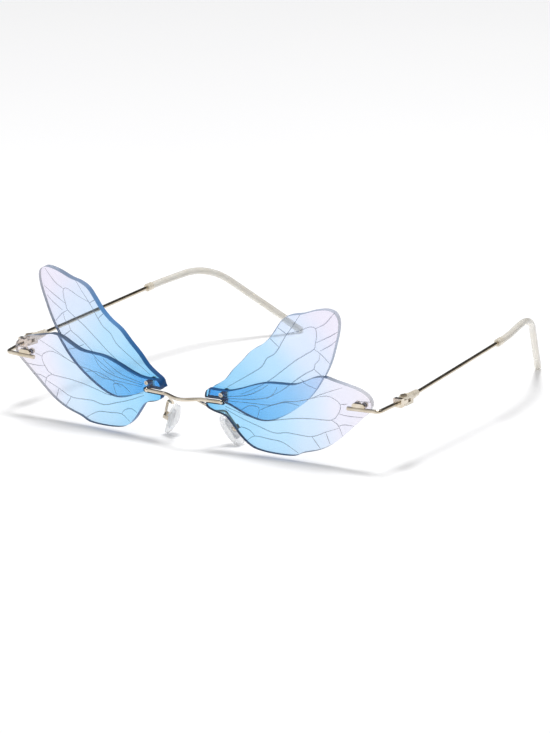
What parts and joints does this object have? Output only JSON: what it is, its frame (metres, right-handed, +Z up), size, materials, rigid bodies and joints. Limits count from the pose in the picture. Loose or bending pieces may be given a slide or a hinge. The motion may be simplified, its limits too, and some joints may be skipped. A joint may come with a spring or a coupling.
{
  "type": "rimless sunglasses",
  "caption": "Rimless sunglasses with dragonfly wing lenses on a gold wire bridge, rocking clear nose pads and thin wire temples that fold",
  "frame": {"origin": "on the surface the glasses stand on, under the middle of their bounding box", "axes": "+X to the wearer's left, +Y back along the temples, +Z up"},
  "size_m": [0.1456, 0.14, 0.0516],
  "materials": {
    "upper_wing": "clear tinted sheet, blue at the nose fading to pale lavender at the tip, polished, with engraved veins",
    "lower_wing": "clear tinted sheet, sky blue at the nose fading to pale lavender at the tip, polished, with engraved veins",
    "gold_wire": "polished pale gold plating on drawn wire",
    "gold_hardware": "polished pale gold plating on small turned and stamped parts",
    "screw_steel": "small slotted screw, dull gold tone",
    "pad_silicone": "clear soft silicone, satin",
    "pad_core": "pale clear insert inside the pad",
    "clear_plastic": "clear glossy sleeve over the wire"
  },
  "bodies": {
    "front": {"upper_wing_left": "upper_wing", "upper_wing_right": "upper_wing", "lower_wing_left": "lower_wing", "lower_wing_right": "lower_wing", "bridge_wire": "gold_wire", "bridge_sleeves": "clear_plastic", "bridge_screws": "gold_hardware", "nose_pad_arm_left": "gold_wire", "nose_pad_arm_right": "gold_wire", "nose_pad_pin_left": "gold_hardware", "nose_pad_pin_right": "gold_hardware", "end_piece_left": "gold_wire", "end_piece_right": "gold_wire", "end_sleeves_left": "clear_plastic", "end_sleeves_right": "clear_plastic", "end_nuts_left": "gold_hardware", "end_nuts_right": "gold_hardware"},
    "temple_left": {"temple_fork_left": "gold_hardware", "hinge_screw_left": "screw_steel", "temple_wire_left": "gold_wire", "ferrule_left": "gold_hardware", "temple_tip_left": "clear_plastic"},
    "temple_right": {"temple_fork_right": "gold_hardware", "hinge_screw_right": "screw_steel", "temple_wire_right": "gold_wire", "ferrule_right": "gold_hardware", "temple_tip_right": "clear_plastic"},
    "pad_left": {"nose_pad_left": "pad_silicone", "nose_pad_core_left": "pad_core"},
    "pad_right": {"nose_pad_right": "pad_silicone", "nose_pad_core_right": "pad_core"}
  },
  "joints": [
    {"name": "temple_left_fold", "type": "hinge", "parent": "front", "child": "temple_left", "pos_m": [0.07135, -0.04989, 0.0215], "axis": [0, 0, 1], "range_deg": [0, 80]},
    {"name": "temple_right_fold", "type": "hinge", "parent": "front", "child": "temple_right", "pos_m": [-0.07135, -0.04989, 0.0215], "axis": [0, 0, -1], "range_deg": [0, 75]},
    {"name": "nose_pad_left_rock", "type": "hinge", "parent": "front", "child": "pad_left", "pos_m": [0.0128, -0.05713, 0.00613], "axis": [-0.007, 0.9499, 0.3125], "range_deg": [-10, 10]},
    {"name": "nose_pad_right_rock", "type": "hinge", "parent": "front", "child": "pad_right", "pos_m": [-0.0128, -0.05713, 0.00613], "axis": [-0.007, -0.9499, -0.3125], "range_deg": [-10, 10]}
  ]
}
